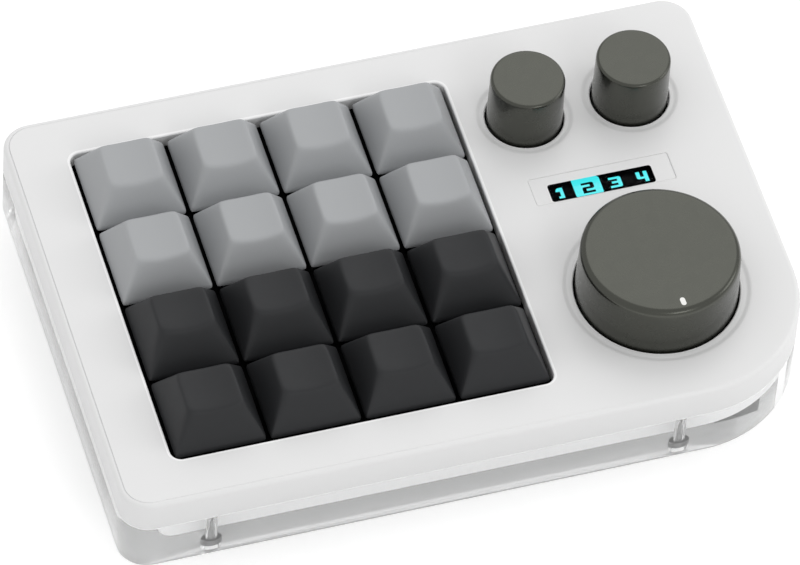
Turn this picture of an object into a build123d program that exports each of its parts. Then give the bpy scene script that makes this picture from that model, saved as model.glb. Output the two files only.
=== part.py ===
from build123d import *
import os
from math import cos, radians, sin

# Macro keypad: sixteen sculpted keys, two small push knobs, one large push knob and a small display, in
# a white cover screwed onto a thick clear base tray. Millimetres, +Z up, +Y towards the back. The origin
# is the centre of the footprint, on the surface that the feet stand on.

# Case
case_length = 142.4
case_depth = 96.8
cover_height = 7.3
tray_height = 11.5
case_corner = 6.0
dial_corner = 25.0
cover_skin = 2.2
cover_edge = 1.0
tray_wall = 8.4
tray_floor = 2.2
pocket_corner = 3.0

# Feet
foot_size = 8.0
foot_height = 1.6
foot_inset_x = 18.0
foot_inset_y = 15.0

# Key grid
key_pitch = 19.05
key_columns = 4
key_rows = 4
key_grid_share = 0.14607
key_grid_y = 0.0
key_travel = 4.0
opening_gap_x = 0.775
opening_gap_y = 0.9
opening_corner = 2.2
opening_wall = 1.6

# Keycaps; the tops' sizes run from the back row to the front row
cap_base = 18.3
cap_corner = 0.5
cap_wall = 1.2
cap_skin = 1.3
cap_dish = 0.65
cap_rim_below_cover = 0.63
cap_heights = (8.05, 8.15, 7.85, 7.75)
cap_top_shifts = (0.12, 0.01, 0.785, 0.2)
cap_top_lengths = (9.84, 10.02, 8.67, 9.5)
cap_top_half_widths = (5.4, 5.4, 5.5, 5.5)
cap_leans = (2.0, 2.2, 0.7, 1.5)
socket_size = 5.4

# Switches
rim_over_plate = 5.8
plate_thickness = 1.5
plate_to_board = 5.0
switch_rim = 15.6
switch_body = 14.0
switch_top_width = 9.8
switch_top_depth = 7.0
switch_height = 6.6
switch_wall = 1.2
slider_width = 7.2
slider_depth = 5.4
slider_gap = 0.25
slider_over_housing = 0.3
cross_size = 4.1
cross_bar = 1.25
cross_height = 3.6
cross_gap = 0.03

# Boards
board_thickness = 1.6
board_gap = 0.5
ledge_width = 1.2
ledge_gap = 0.2
board_post = 6.0
board_post_inset_x = 6.8
board_post_inset_y = 10.0
board_post_share = 0.1
chip_size = 10.0
chip_height = 1.2
chip_x = 41.0
chip_y = -3.0

# Case screws
screw_diameter = 2.0
screw_head = 3.8
screw_head_height = 1.6
screw_sunk = 0.9
screw_line = 4.1
screw_hole_gap = 0.2
screw_grip = 4.0
front_left_screw_share = -0.3743
front_right_screw_share = 0.29
back_screw_share = 0.3743

# Knobs; a share is a place across the field between the key opening and the case's right edge
small_knob_shares = (0.2492, 0.6585)
small_knob_y = 26.15
small_knob_diameter = 15.3
small_knob_rise = 11.55
small_knob_chamfer = 0.6
large_knob_share = 0.4841
large_knob_y = -21.1
large_knob_diameter = 32.2
large_knob_rise = 11.3
large_knob_chamfer = 1.2
knob_sunk = 1.0
knob_hole_gap = 0.25
works_gap = 1.5
pointer_length = 2.0
pointer_width = 1.1
pointer_depth = 0.5
pointer_radius = 13.1
pointer_angle = -88.4
inlay_gap = 0.02

# Push encoders
encoder_width = 11.7
encoder_depth = 12.2
encoder_height = 6.7
encoder_floor = 0.6
shaft_diameter = 6.0
shaft_flat = 1.5
shaft_gap = 0.05
shaft_rise = 20.0
push_travel = 0.5
push_plate_size = 4.0
push_plate_height = 0.8
push_clearance = 0.1

# Display
window_share = 0.4393
window_y = 6.95
window_length = 29.0
window_width = 6.9
window_thickness = 1.1
window_gap = 0.12
window_sunk = 0.1
screen_length = 21.6
screen_width = 4.1
screen_shift = -0.2
screen_gap = 0.05
panel_length = 30.0
panel_width = 11.5
panel_thickness = 1.45
carrier_length = 36.0
carrier_width = 12.0
carrier_thickness = 1.2
header_pins = 4
header_spacing = 2.54
header_inset = 1.6
header_block = 2.5
header_pin = 0.64
header_pin_gap = 0.15
header_tail = 0.6

# USB socket and the recess in the tray's back wall that its plug goes into
usb_x = 0.0
usb_width = 8.9
usb_height = 3.2
usb_depth = 7.4
usb_corner = 1.2
usb_wall = 0.3
usb_back_wall = 1.2
usb_tongue_width = 6.7
usb_tongue_height = 0.7
usb_tongue_length = 4.5
usb_reach = 1.0
recess_width = 13.0
recess_height = 6.6
recess_corner = 2.5

# Heights that follow from these sizes
tray_bottom = foot_height
split_height = tray_bottom + tray_height
cover_top = split_height + cover_height
cover_underside = cover_top - cover_skin
rim_height = cover_top - cap_rim_below_cover
plate_top = rim_height - rim_over_plate
plate_bottom = plate_top - plate_thickness
board_top = plate_top - plate_to_board
board_bottom = board_top - board_thickness
floor_top = tray_bottom + tray_floor
housing_top = plate_top + switch_height
slider_top = housing_top + slider_over_housing
push_plate_bottom = board_top + encoder_floor + push_travel + push_clearance
knob_bottom = cover_top - knob_sunk
shaft_top = board_top + shaft_rise
panel_bottom = cover_underside - panel_thickness
carrier_bottom = panel_bottom - carrier_thickness
usb_centre = board_bottom - usb_height / 2
window_floor = cover_top - window_sunk - window_thickness

# Places that follow from these sizes
key_grid_x = -key_grid_share * case_length
key_places = [
    (
        key_grid_x + (column - (key_columns - 1) / 2) * key_pitch,
        key_grid_y + ((key_rows - 1) / 2 - row) * key_pitch,
    )
    for row in range(key_rows)
    for column in range(key_columns)
]
opening_length = (key_columns - 1) * key_pitch + cap_base + 2 * opening_gap_x
opening_depth = (key_rows - 1) * key_pitch + cap_base + 2 * opening_gap_y
field_left = key_grid_x + opening_length / 2
field_length = case_length / 2 - field_left
small_knob_x = [field_left + share * field_length for share in small_knob_shares]
large_knob_x = field_left + large_knob_share * field_length
window_x = field_left + window_share * field_length
screen_x = window_x + screen_shift
encoder_places = [
    (small_knob_x[0], small_knob_y),
    (small_knob_x[1], small_knob_y),
    (large_knob_x, large_knob_y),
]
knob_diameters = [small_knob_diameter, small_knob_diameter, large_knob_diameter]
works_left = field_left + opening_wall
works_right = small_knob_x[1] + encoder_width / 2 + works_gap
works_back = small_knob_y + encoder_depth / 2 + works_gap
works_front = large_knob_y - large_knob_diameter / 2 - works_gap
screw_y = case_depth / 2 - screw_line
screw_places = [
    (front_left_screw_share * case_length, -screw_y),
    (front_right_screw_share * case_length, -screw_y),
    (-back_screw_share * case_length, screw_y),
    (back_screw_share * case_length, screw_y),
]
board_post_x = case_length / 2 - tray_wall - board_post_inset_x
board_post_y = case_depth / 2 - tray_wall - board_post_inset_y
board_post_places = [
    (x, end * board_post_y)
    for x in (-board_post_x, board_post_share * case_length, board_post_x)
    for end in (-1, 1)
]
foot_places = [
    (side * (case_length / 2 - foot_inset_x), end * (case_depth / 2 - foot_inset_y))
    for side in (-1, 1)
    for end in (-1, 1)
]
carrier_x = window_x
header_x = carrier_x - carrier_length / 2 + header_inset
header_places = [
    (header_x, window_y + (pin - (header_pins - 1) / 2) * header_spacing) for pin in range(header_pins)
]
usb_mouth = case_depth / 2 - tray_wall + usb_reach


def export(piece, label):
    """Names a finished piece and writes its STEP file."""
    piece.label = label
    export_step(piece, f"parts/{label}.step")


def case_plan(height, inset, small_corner):
    """Plan of the case at a height, drawn in by inset, with its one large corner at the front right."""
    x = case_length / 2 - inset
    y = case_depth / 2 - inset
    corners = [(-x, -y), (x, -y), (x, y), (-x, y)]
    radii = [small_corner, dial_corner - inset, small_corner, small_corner]
    with BuildSketch(Plane.XY.offset(height)) as plan:
        with BuildLine():
            FilletPolyline(*corners, radius=radii, close=True)
        make_face()
    return plan.sketch


def plate_pocket_plan(height):
    """Plan of the recess that tray and cover leave for the edge of the switch plate."""
    return case_plan(height, tray_wall - ledge_width - ledge_gap, pocket_corner)


def make_top_cover():
    """White cover: plate and works pockets, key opening, knob holes, window recess and screw holes."""
    with BuildPart() as cover:
        extrude(case_plan(split_height, 0, case_corner), amount=cover_height)
        chamfer(cover.faces().sort_by(Axis.Z)[-1].edges(), length=cover_edge)
        extrude(plate_pocket_plan(split_height), amount=plate_top - split_height, mode=Mode.SUBTRACT)
        with BuildSketch(Plane.XY.offset(plate_top)):
            add(plate_pocket_plan(0))
            with Locations(((works_left + works_right) / 2, (works_front + works_back) / 2)):
                Rectangle(works_right - works_left, works_back - works_front, mode=Mode.INTERSECT)
        extrude(amount=cover_underside - plate_top, mode=Mode.SUBTRACT)
        with BuildSketch(Plane.XY.offset(plate_top)):
            with Locations((key_grid_x, key_grid_y)):
                RectangleRounded(opening_length, opening_depth, opening_corner)
        extrude(amount=cover_height, mode=Mode.SUBTRACT)
        with BuildSketch(Plane.XY.offset(split_height)):
            with Locations(*screw_places):
                Circle(screw_diameter / 2)
        extrude(amount=screw_grip, mode=Mode.SUBTRACT)
        for place, diameter in zip(encoder_places, knob_diameters):
            with BuildSketch(Plane.XY.offset(cover_top)):
                with Locations(place):
                    Circle(diameter / 2 + knob_hole_gap)
            extrude(amount=-cover_skin, mode=Mode.SUBTRACT)
        with BuildSketch(Plane.XY.offset(cover_top)):
            with Locations((window_x, window_y)):
                Rectangle(window_length, window_width)
        extrude(amount=window_floor - cover_top, mode=Mode.SUBTRACT)
        with BuildSketch(Plane.XY.offset(cover_top)):
            with Locations((screen_x, window_y)):
                Rectangle(screen_length, screen_width)
        extrude(amount=-cover_skin, mode=Mode.SUBTRACT)
    return cover.part


def make_base_tray():
    """Thick clear tub: ledge for the switch plate, posts for the board, screw holes and the plug recess."""
    with BuildPart() as tray:
        extrude(case_plan(tray_bottom, 0, case_corner), amount=tray_height)
        extrude(
            case_plan(floor_top, tray_wall, pocket_corner),
            amount=tray_height,
            mode=Mode.SUBTRACT,
        )
        extrude(plate_pocket_plan(plate_bottom), amount=tray_height, mode=Mode.SUBTRACT)
        with BuildSketch(Plane.XY.offset(floor_top)):
            with Locations(*board_post_places):
                Rectangle(board_post, board_post)
        extrude(amount=board_bottom - floor_top)
        with BuildSketch(Plane.XY.offset(tray_bottom)):
            with Locations(*screw_places):
                Circle(screw_diameter / 2 + screw_hole_gap)
        extrude(amount=tray_height, mode=Mode.SUBTRACT)
        with BuildSketch(Plane.XY.offset(tray_bottom)):
            with Locations(*screw_places):
                Circle(screw_head / 2 + screw_hole_gap)
        extrude(amount=screw_sunk + screw_head_height, mode=Mode.SUBTRACT)
        back_face = Plane(origin=(usb_x, case_depth / 2, usb_centre), x_dir=(-1, 0, 0), z_dir=(0, 1, 0))
        with BuildSketch(back_face):
            RectangleRounded(recess_width, recess_height, recess_corner)
        extrude(amount=-tray_wall, mode=Mode.SUBTRACT)
    return tray.part


def make_rubber_feet():
    """Four square pads under the tray."""
    with BuildPart() as feet:
        with BuildSketch(Plane.XY):
            with Locations(*foot_places):
                Rectangle(foot_size, foot_size)
        extrude(amount=foot_height)
    return feet.part


def make_case_screws():
    """Four screws from under the tray up into the cover."""
    head_bottom = tray_bottom + screw_sunk
    with BuildPart() as screws:
        with BuildSketch(Plane.XY.offset(head_bottom)):
            with Locations(*screw_places):
                Circle(screw_head / 2)
        extrude(amount=screw_head_height)
        with BuildSketch(Plane.XY.offset(head_bottom)):
            with Locations(*screw_places):
                Circle(screw_diameter / 2)
        extrude(amount=split_height + screw_grip - head_bottom)
    return screws.part


def make_switch_plate():
    """Plate clamped between tray and cover, with a square hole for each switch, encoder and the header."""
    with BuildPart() as plate:
        extrude(
            case_plan(plate_bottom, tray_wall - ledge_width, pocket_corner),
            amount=plate_thickness,
        )
        with BuildSketch(Plane.XY.offset(plate_bottom)):
            with Locations(*key_places):
                Rectangle(switch_body, switch_body)
            with Locations(*encoder_places):
                Rectangle(encoder_width + 2 * board_gap, encoder_depth + 2 * board_gap)
            with Locations((header_x, window_y)):
                Rectangle(header_block + 2 * board_gap, header_pins * header_spacing + 2 * board_gap)
        extrude(amount=plate_thickness, mode=Mode.SUBTRACT)
    return plate.part


def make_main_board():
    """Circuit board on the tray's posts, with holes for the display's header."""
    hole = header_pin + 2 * header_pin_gap
    with BuildPart() as board:
        extrude(case_plan(board_bottom, tray_wall + board_gap, pocket_corner), amount=board_thickness)
        with BuildSketch(Plane.XY.offset(board_bottom)):
            with Locations(*header_places):
                Rectangle(hole, hole)
        extrude(amount=board_thickness, mode=Mode.SUBTRACT)
    return board.part


def make_controller_chip():
    """Square package on the underside of the board."""
    with BuildPart() as chip:
        with BuildSketch(Plane.XY.offset(board_bottom)):
            with Locations((chip_x, chip_y)):
                Rectangle(chip_size, chip_size)
        extrude(amount=-chip_height)
    return chip.part


def make_tapered_block(bottom, base, half_width, height, front, back):
    """Block with four flat sloping flanks on a square base, where a side view and a front view cross.

    The half width is the one at the height over the base. Front and back are the ends of the top in a
    side view.
    """
    peak = back[1]
    peak_half_width = base / 2 - (base / 2 - half_width) * (peak - bottom) / height
    with BuildPart() as block:
        with BuildSketch(Plane.YZ):
            with BuildLine():
                Polyline((-base / 2, bottom), (base / 2, bottom), back, front, close=True)
            make_face()
        extrude(amount=base / 2, both=True)
        with BuildSketch(Plane.XZ):
            with BuildLine():
                Polyline(
                    (-base / 2, bottom),
                    (base / 2, bottom),
                    (peak_half_width, peak),
                    (-peak_half_width, peak),
                    close=True,
                )
            make_face()
        extrude(amount=base, both=True, mode=Mode.INTERSECT)
    return block.part


def make_switch_bottom():
    """Lower half of one switch at the origin: hollow body from the board up through the plate."""
    with BuildPart() as bottom:
        with BuildSketch(Plane.XY.offset(board_top)):
            Rectangle(switch_body, switch_body)
        extrude(amount=plate_to_board)
        with BuildSketch(Plane.XY.offset(plate_top)):
            Rectangle(slider_width + 2 * slider_gap, slider_depth + 2 * slider_gap)
        extrude(amount=switch_wall - plate_to_board, mode=Mode.SUBTRACT)
    return bottom.part


def make_switch_top():
    """Upper half of one switch at the origin: a tapered hood on the plate, with the slider's opening."""
    hood = make_tapered_block(
        plate_top,
        switch_rim,
        switch_top_width / 2,
        switch_height,
        front=(-switch_top_depth / 2, housing_top),
        back=(switch_top_depth / 2, housing_top),
    )
    with BuildPart() as top:
        add(hood)
        with BuildSketch(Plane.XY.offset(housing_top)):
            Rectangle(slider_width + 2 * slider_gap, slider_depth + 2 * slider_gap)
        extrude(amount=-switch_height, mode=Mode.SUBTRACT)
    return top.part


def make_stem():
    """Sliding stem of one switch at the origin: block inside the housing, cross that the keycap sits on."""
    slider_bottom = board_top + switch_wall + key_travel + slider_gap
    with BuildPart() as stem:
        with BuildSketch(Plane.XY.offset(slider_bottom)):
            Rectangle(slider_width, slider_depth)
        extrude(amount=slider_top - slider_bottom)
        with BuildSketch(Plane.XY.offset(slider_top)):
            Rectangle(cross_size, cross_bar)
            Rectangle(cross_bar, cross_size)
        extrude(amount=cross_height)
    return stem.part


def make_keycap(row):
    """One row's sculpted keycap at the origin: hollow, tapered, dished, with its cross socket."""
    height = cap_heights[row]
    shift = cap_top_shifts[row]
    half_length = cap_top_lengths[row] / 2
    half_width = cap_top_half_widths[row]
    lean = radians(cap_leans[row])
    top_height = rim_height + height
    rise = half_length * sin(lean)
    reach = half_length * cos(lean)
    ceiling = top_height - cap_dish - cap_skin
    inner_half_length = half_length - cap_wall / 2
    dish_radius = (half_width**2 + cap_dish**2) / (2 * cap_dish)
    dish_plane = Plane(
        origin=(0, shift, top_height),
        x_dir=(1, 0, 0),
        z_dir=(0, -cos(lean), -sin(lean)),
    )
    outside = make_tapered_block(
        rim_height,
        cap_base,
        half_width,
        height,
        front=(shift - reach, top_height - rise),
        back=(shift + reach, top_height + rise),
    )
    inside = make_tapered_block(
        rim_height,
        cap_base - 2 * cap_wall,
        half_width - cap_wall / 2,
        ceiling - rim_height,
        front=(shift - inner_half_length, ceiling),
        back=(shift + inner_half_length, ceiling),
    )
    with BuildPart() as cap:
        add(outside)
        level_faces = [cap.faces().sort_by(Axis.Z)[0], cap.faces().sort_by(Axis.Z)[-1]]
        upright_edges = cap.edges()
        for face in level_faces:
            upright_edges = upright_edges - face.edges()
        chamfer(upright_edges, length=cap_corner)
        with BuildSketch(dish_plane):
            with Locations((0, dish_radius - cap_dish)):
                Circle(dish_radius)
        extrude(amount=cap_base, both=True, mode=Mode.SUBTRACT)
        add(inside, mode=Mode.SUBTRACT)
        with BuildSketch(Plane.XY.offset(slider_top)):
            Rectangle(socket_size, socket_size)
        extrude(amount=ceiling + cap_skin / 2 - slider_top)
        with BuildSketch(Plane.XY.offset(slider_top)):
            Rectangle(cross_size + 2 * cross_gap, cross_bar + 2 * cross_gap)
            Rectangle(cross_bar + 2 * cross_gap, cross_size + 2 * cross_gap)
        extrude(amount=cross_height + cross_gap, mode=Mode.SUBTRACT)
    return cap.part


def make_encoder_housing():
    """Body of one push encoder at the origin, bored for its shaft and push plate."""
    with BuildPart() as housing:
        with BuildSketch(Plane.XY.offset(board_top)):
            Rectangle(encoder_width, encoder_depth)
        extrude(amount=encoder_height)
        with BuildSketch(Plane.XY.offset(board_top + encoder_floor)):
            Circle(shaft_diameter / 2 + shaft_gap)
        extrude(amount=encoder_height - encoder_floor, mode=Mode.SUBTRACT)
    return housing.part


def make_push_plate(place):
    """Square plate under a shaft, which a press pushes down without turning it."""
    with BuildPart() as plate:
        with BuildSketch(Plane.XY.offset(push_plate_bottom)):
            with Locations(place):
                Rectangle(push_plate_size, push_plate_size)
        extrude(amount=push_plate_height)
    return plate.part


def shaft_plan(place, height, gap):
    """Circle with the flat that keys a knob to its shaft, grown by gap."""
    radius = shaft_diameter / 2 + gap
    with BuildSketch(Plane.XY.offset(height)) as plan:
        with Locations(place):
            Circle(radius)
        with Locations((place[0], place[1] + radius)):
            Rectangle(2 * radius, 2 * shaft_flat, mode=Mode.SUBTRACT)
    return plan.sketch


def make_shaft(place):
    """Encoder shaft, round in its housing and flat on one side along the stretch that the knob grips."""
    bottom = push_plate_bottom + push_plate_height + shaft_gap
    with BuildPart() as shaft:
        with BuildSketch(Plane.XY.offset(bottom)):
            with Locations(place):
                Circle(shaft_diameter / 2)
        extrude(amount=knob_bottom - bottom)
        extrude(shaft_plan(place, knob_bottom, 0), amount=shaft_top - knob_bottom)
    return shaft.part


def make_knob(place, diameter, rise, edge):
    """Turned knob with a broken top edge, bored from below for its shaft."""
    with BuildPart() as knob:
        with BuildSketch(Plane.XY.offset(knob_bottom)):
            with Locations(place):
                Circle(diameter / 2)
        extrude(amount=cover_top + rise - knob_bottom)
        chamfer(knob.faces().sort_by(Axis.Z)[-1].edges(), length=edge)
        extrude(
            shaft_plan(place, knob_bottom, inlay_gap),
            amount=shaft_top - knob_bottom,
            mode=Mode.SUBTRACT,
        )
    return knob.part


def make_large_knob(place):
    """The large knob, with a pocket for its pointer."""
    with BuildPart() as knob:
        add(make_knob(place, large_knob_diameter, large_knob_rise, large_knob_chamfer))
        extrude(pointer_plan(place, 0), amount=-pointer_depth, mode=Mode.SUBTRACT)
    return knob.part


def pointer_plan(place, gap):
    """Short bar on the large knob's top, along its radius, drawn in by gap."""
    angle = radians(pointer_angle)
    x = place[0] + pointer_radius * cos(angle)
    y = place[1] + pointer_radius * sin(angle)
    with BuildSketch(Plane.XY.offset(cover_top + large_knob_rise)) as plan:
        with Locations((x, y)):
            Rectangle(pointer_length - 2 * gap, pointer_width - 2 * gap, rotation=pointer_angle)
    return plan.sketch


def make_pointer(place):
    """White inlay that fills the large knob's pocket."""
    with BuildPart() as pointer:
        extrude(pointer_plan(place, inlay_gap), amount=-pointer_depth)
    return pointer.part


def make_display_window():
    """Flat window that lies in the cover's recess over the display."""
    with BuildPart() as window:
        with BuildSketch(Plane.XY.offset(cover_top - window_sunk)):
            with Locations((window_x, window_y)):
                Rectangle(window_length - 2 * window_gap, window_width - 2 * window_gap)
        extrude(amount=-window_thickness)
    return window.part


def make_display_panel():
    """Glass of the display against the cover's underside, its screen raised into the cover's cut."""
    with BuildPart() as panel:
        with BuildSketch(Plane.XY.offset(panel_bottom)):
            with Locations((window_x, window_y)):
                Rectangle(panel_length, panel_width)
        extrude(amount=panel_thickness)
        with BuildSketch(Plane.XY.offset(cover_underside)):
            with Locations((screen_x, window_y)):
                Rectangle(screen_length - 2 * screen_gap, screen_width - 2 * screen_gap)
        extrude(amount=window_floor - screen_gap - cover_underside)
    return panel.part


def make_display_board():
    """Carrier board under the display's glass, with its row of pin holes."""
    hole = header_pin + 2 * header_pin_gap
    with BuildPart() as carrier:
        with BuildSketch(Plane.XY.offset(carrier_bottom)):
            with Locations((carrier_x, window_y)):
                Rectangle(carrier_length, carrier_width)
            with Locations(*header_places):
                Rectangle(hole, hole, mode=Mode.SUBTRACT)
        extrude(amount=carrier_thickness)
    return carrier.part


def make_display_header():
    """Pin header between the display's carrier and the main board."""
    pin_bottom = board_bottom - header_tail
    pin_top = panel_bottom + header_tail
    with BuildPart() as header:
        with BuildSketch(Plane.XY.offset(carrier_bottom)):
            with Locations((header_x, window_y)):
                Rectangle(header_block, header_pins * header_spacing)
        extrude(amount=-header_block)
        with BuildSketch(Plane.XY.offset(pin_bottom)):
            with Locations(*header_places):
                Rectangle(header_pin, header_pin)
        extrude(amount=pin_top - pin_bottom)
    return header.part


def make_usb_socket():
    """Metal shell on the board's underside, open at the back, with the contact tongue inside."""
    mouth = Plane(origin=(usb_x, usb_mouth, usb_centre), x_dir=(-1, 0, 0), z_dir=(0, 1, 0))
    with BuildPart() as socket:
        with BuildSketch(mouth):
            RectangleRounded(usb_width, usb_height, usb_corner)
        extrude(amount=-usb_depth)
        with BuildSketch(mouth):
            RectangleRounded(usb_width - 2 * usb_wall, usb_height - 2 * usb_wall, usb_corner - usb_wall)
        extrude(amount=-(usb_depth - usb_back_wall), mode=Mode.SUBTRACT)
        with BuildSketch(mouth.offset(-(usb_depth - usb_back_wall))):
            Rectangle(usb_tongue_width, usb_tongue_height)
        extrude(amount=usb_tongue_length)
    return socket.part


def spread(piece, places):
    """The same piece, standing at the origin, repeated at each place as separate solids."""
    with BuildPart() as group:
        with Locations(*places):
            add(piece)
    return group.part


os.makedirs("parts", exist_ok=True)

export(make_top_cover(), "top_cover")
export(make_base_tray(), "base_tray")
export(make_rubber_feet(), "rubber_feet")
export(make_case_screws(), "case_screws")
export(make_switch_plate(), "switch_plate")
export(make_main_board(), "main_board")
export(make_controller_chip(), "controller_chip")
export(make_usb_socket(), "usb_socket")
export(make_display_window(), "display_window")
export(make_display_panel(), "display_panel")
export(make_display_board(), "display_board")
export(make_display_header(), "display_header")
export(spread(make_switch_bottom(), key_places), "switch_bottom_housings")
export(spread(make_switch_top(), key_places), "switch_top_housings")
export(spread(make_encoder_housing(), encoder_places), "encoder_housings")

stem = make_stem()
row_caps = [make_keycap(row) for row in range(key_rows)]
for index, place in enumerate(key_places):
    row, column = divmod(index, key_columns)
    key = f"r{row + 1}c{column + 1}"
    export(spread(row_caps[row], [place]), f"keycap_{key}")
    export(spread(stem, [place]), f"stem_{key}")

for side, place in zip(("left", "right", "large"), encoder_places):
    export(make_push_plate(place), f"{side}_push_plate")
    export(make_shaft(place), f"{side}_shaft")
for side, place in zip(("left", "right"), encoder_places):
    export(make_knob(place, small_knob_diameter, small_knob_rise, small_knob_chamfer), f"small_knob_{side}")
large_knob_place = (large_knob_x, large_knob_y)
export(make_large_knob(large_knob_place), "large_knob")
export(make_pointer(large_knob_place), "knob_pointer")
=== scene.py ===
from math import cos, pi, radians, sin, sqrt
import bmesh
import bpy
import numpy as np
from mathutils import Matrix, Vector
from mathutils.geometry import tessellate_polygon


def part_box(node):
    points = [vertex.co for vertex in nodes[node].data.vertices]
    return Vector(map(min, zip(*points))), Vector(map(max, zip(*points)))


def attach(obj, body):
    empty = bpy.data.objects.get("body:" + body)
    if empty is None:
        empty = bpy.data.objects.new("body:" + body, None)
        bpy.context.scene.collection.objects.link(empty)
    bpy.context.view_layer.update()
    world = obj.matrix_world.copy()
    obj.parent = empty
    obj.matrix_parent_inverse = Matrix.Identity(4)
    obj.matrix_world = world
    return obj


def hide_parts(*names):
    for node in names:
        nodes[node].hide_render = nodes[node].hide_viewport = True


# Macro keypad: sixteen sculpted keys, two small push knobs, one large push knob and a small display, in a
# white cover on a thick clear tray. Shapes are worked out in millimetres and become metres in their meshes.

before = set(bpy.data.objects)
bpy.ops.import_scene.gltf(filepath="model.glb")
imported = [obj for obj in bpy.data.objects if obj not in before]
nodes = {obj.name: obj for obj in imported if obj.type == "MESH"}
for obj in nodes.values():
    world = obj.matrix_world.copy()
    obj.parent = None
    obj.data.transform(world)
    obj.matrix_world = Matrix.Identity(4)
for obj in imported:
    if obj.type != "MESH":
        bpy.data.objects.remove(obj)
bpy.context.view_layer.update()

MM = 0.001
WELD = 1e-7
SHARP = radians(38)
BEVEL_FROM = radians(35)
FLAT_WITHIN = radians(0.5)
CORNER_STEPS = 14
ROUND_STEPS = 128
FLANK_STEPS = 22
TOP_STEPS = 18
SIDE_STEPS = 28
SOLVER_STEPS = 40
SHORTEST_RAY = 0.4
LONGEST_RAY = 1.4
EDGE_WEAR_AND_HIGHLIGHT = 0.16
POLISH_SPREAD = 0.06


def srgb(red, green, blue):
    """Linear colour of a shade given as three 8-bit screen values."""
    shade = np.array([red, green, blue]) / 255
    linear = np.where(shade <= 0.04045, shade / 12.92, ((shade + 0.055) / 1.055) ** 2.4)
    return (*linear.tolist(), 1.0)


def shaded(colour, share):
    """A colour with its light cut to a share."""
    return (*(np.array(colour[:3]) * share).tolist(), 1.0)


def node_box(name):
    """Lowest and highest corner of a CAD node, in millimetres."""
    low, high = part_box(name)
    return np.array(low) / MM, np.array(high) / MM


def node_middle(name):
    """Middle of a CAD node in plan, in millimetres."""
    low, high = node_box(name)
    return (low[:2] + high[:2]) / 2


# Sizes in millimetres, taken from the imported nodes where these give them
cover_low, cover_high = node_box("top_cover")
window_low, window_high = node_box("display_window")
cover_top = cover_high[2]
plate_top = node_box("switch_plate")[1][2]
glass_top = node_box("display_panel")[1][2]
tray_bottom = node_box("base_tray")[0][2]
cover_skin = 2.2
cover_underside = cover_top - cover_skin
case_corner = 6.0
dial_corner = 25.0
cover_round = 1.0
skirt_round = 0.25
skirt_chamfer = 0.07
groove_width = 0.24
groove_depth = 0.28
groove_length = 12
groove_outer = cover_round + groove_width
flat_margin = 0.25
pocket_inset = 7.0
pocket_corner = 3.0
frost_inset = 6.5
polished_foot = 0.5
opening_gap = np.array([0.775, 0.9])
opening_low = node_box("keycap_r4c1")[0][:2] - opening_gap
opening_high = node_box("keycap_r1c4")[1][:2] + opening_gap
opening_corner = 2.2
opening_round = 0.35
opening_skin = 3.2
screen_shift = np.array([-0.2, -0.15])
screen_middle = node_middle("display_window") + screen_shift
screen_half = np.array([10.8, 2.25])
screen_corner = 0.6
window_depth = 1.2
window_gap = 0.04
window_corner = 0.45
window_rim = 0.06
window_edge = 0.15
window_bevel = (0.04, 0.05)
patch_low = screen_middle + [-10.92, -3.05]
patch_high = screen_middle + [10.52, 1.34]
screw_places = [(-53.3, -44.3), (41.3, -44.3), (-53.3, 44.3), (53.3, 44.3)]
screw_hole_radius = 1.0
screw_hole_depth = 4.0
screw_hole_steps = 24
knob_nodes = {"left": "small_knob_left", "right": "small_knob_right", "large": "large_knob"}
knob_boxes = {side: node_box(name) for side, name in knob_nodes.items()}
knob_places = {side: node_middle(name) for side, name in knob_nodes.items()}
knob_gap = 0.25
hole_radii = {side: (high[0] - low[0]) / 2 + knob_gap for side, (low, high) in knob_boxes.items()}
well_widths = {"left": 2.0, "right": 2.0, "large": 2.4}
well_slope = 1.25
well_depth = 0.26
well_lip = 0.45
opening_wall = 1.6
works_gap = 1.5
encoder_reach = np.array([7.35, 7.6])
works_low = np.array([opening_high[0] + opening_wall, knob_boxes["large"][0][1] - works_gap])
works_high = knob_places["right"] + encoder_reach
works_corners = [0.6, 12.0, 0.6, 0.6]


def rounded_plan(low, high, radii):
    """Outline of a rectangle, anticlockwise from the front left: an arc of its own radius at each corner."""
    radii = np.asarray(radii, float)
    corners = np.array([[low[0], low[1]], [high[0], low[1]], [high[0], high[1]], [low[0], high[1]]])
    inward = np.array([[1, 1], [-1, 1], [-1, -1], [1, -1]])
    centres = corners + inward * radii[:, None]
    turn = np.linspace(0, pi / 2, CORNER_STEPS + 1)
    angles = pi + np.arange(4)[:, None] * pi / 2 + turn[None, :]
    arcs = np.stack([np.cos(angles), np.sin(angles)], axis=-1) * radii[:, None, None]
    return (centres[:, None, :] + arcs).reshape(-1, 2)


def circle_plan(centre, radius, steps=ROUND_STEPS):
    """Outline of a circle: centre plus radius times the cosine and sine of equal turns."""
    turn = np.arange(steps) * 2 * pi / steps
    return np.array(centre)[:2] + radius * np.column_stack([np.cos(turn), np.sin(turn)])


def case_plan(inset, corner=None):
    """Outline of the case drawn in by inset: three small corners and the large one at the front right."""
    corner = case_corner - inset if corner is None else corner
    radii = [corner, dial_corner - inset, corner, corner]
    return rounded_plan(cover_low[:2] + inset, cover_high[:2] - inset, radii)


def ring(plan, height):
    """A plan lifted to a height."""
    return np.column_stack([plan, np.full(len(plan), height)])


def wall(rings):
    """Quads between rings of equal count: two neighbours on a ring join the same two on the ring after."""
    count = len(rings[0])
    row, column = np.meshgrid(np.arange(len(rings) - 1), np.arange(count), indexing="ij")
    first = row * count + column
    second = row * count + (column + 1) % count
    faces = np.stack([first, second, second + count, first + count], axis=-1).reshape(-1, 4)
    return np.vstack(rings), faces.tolist()


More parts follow.
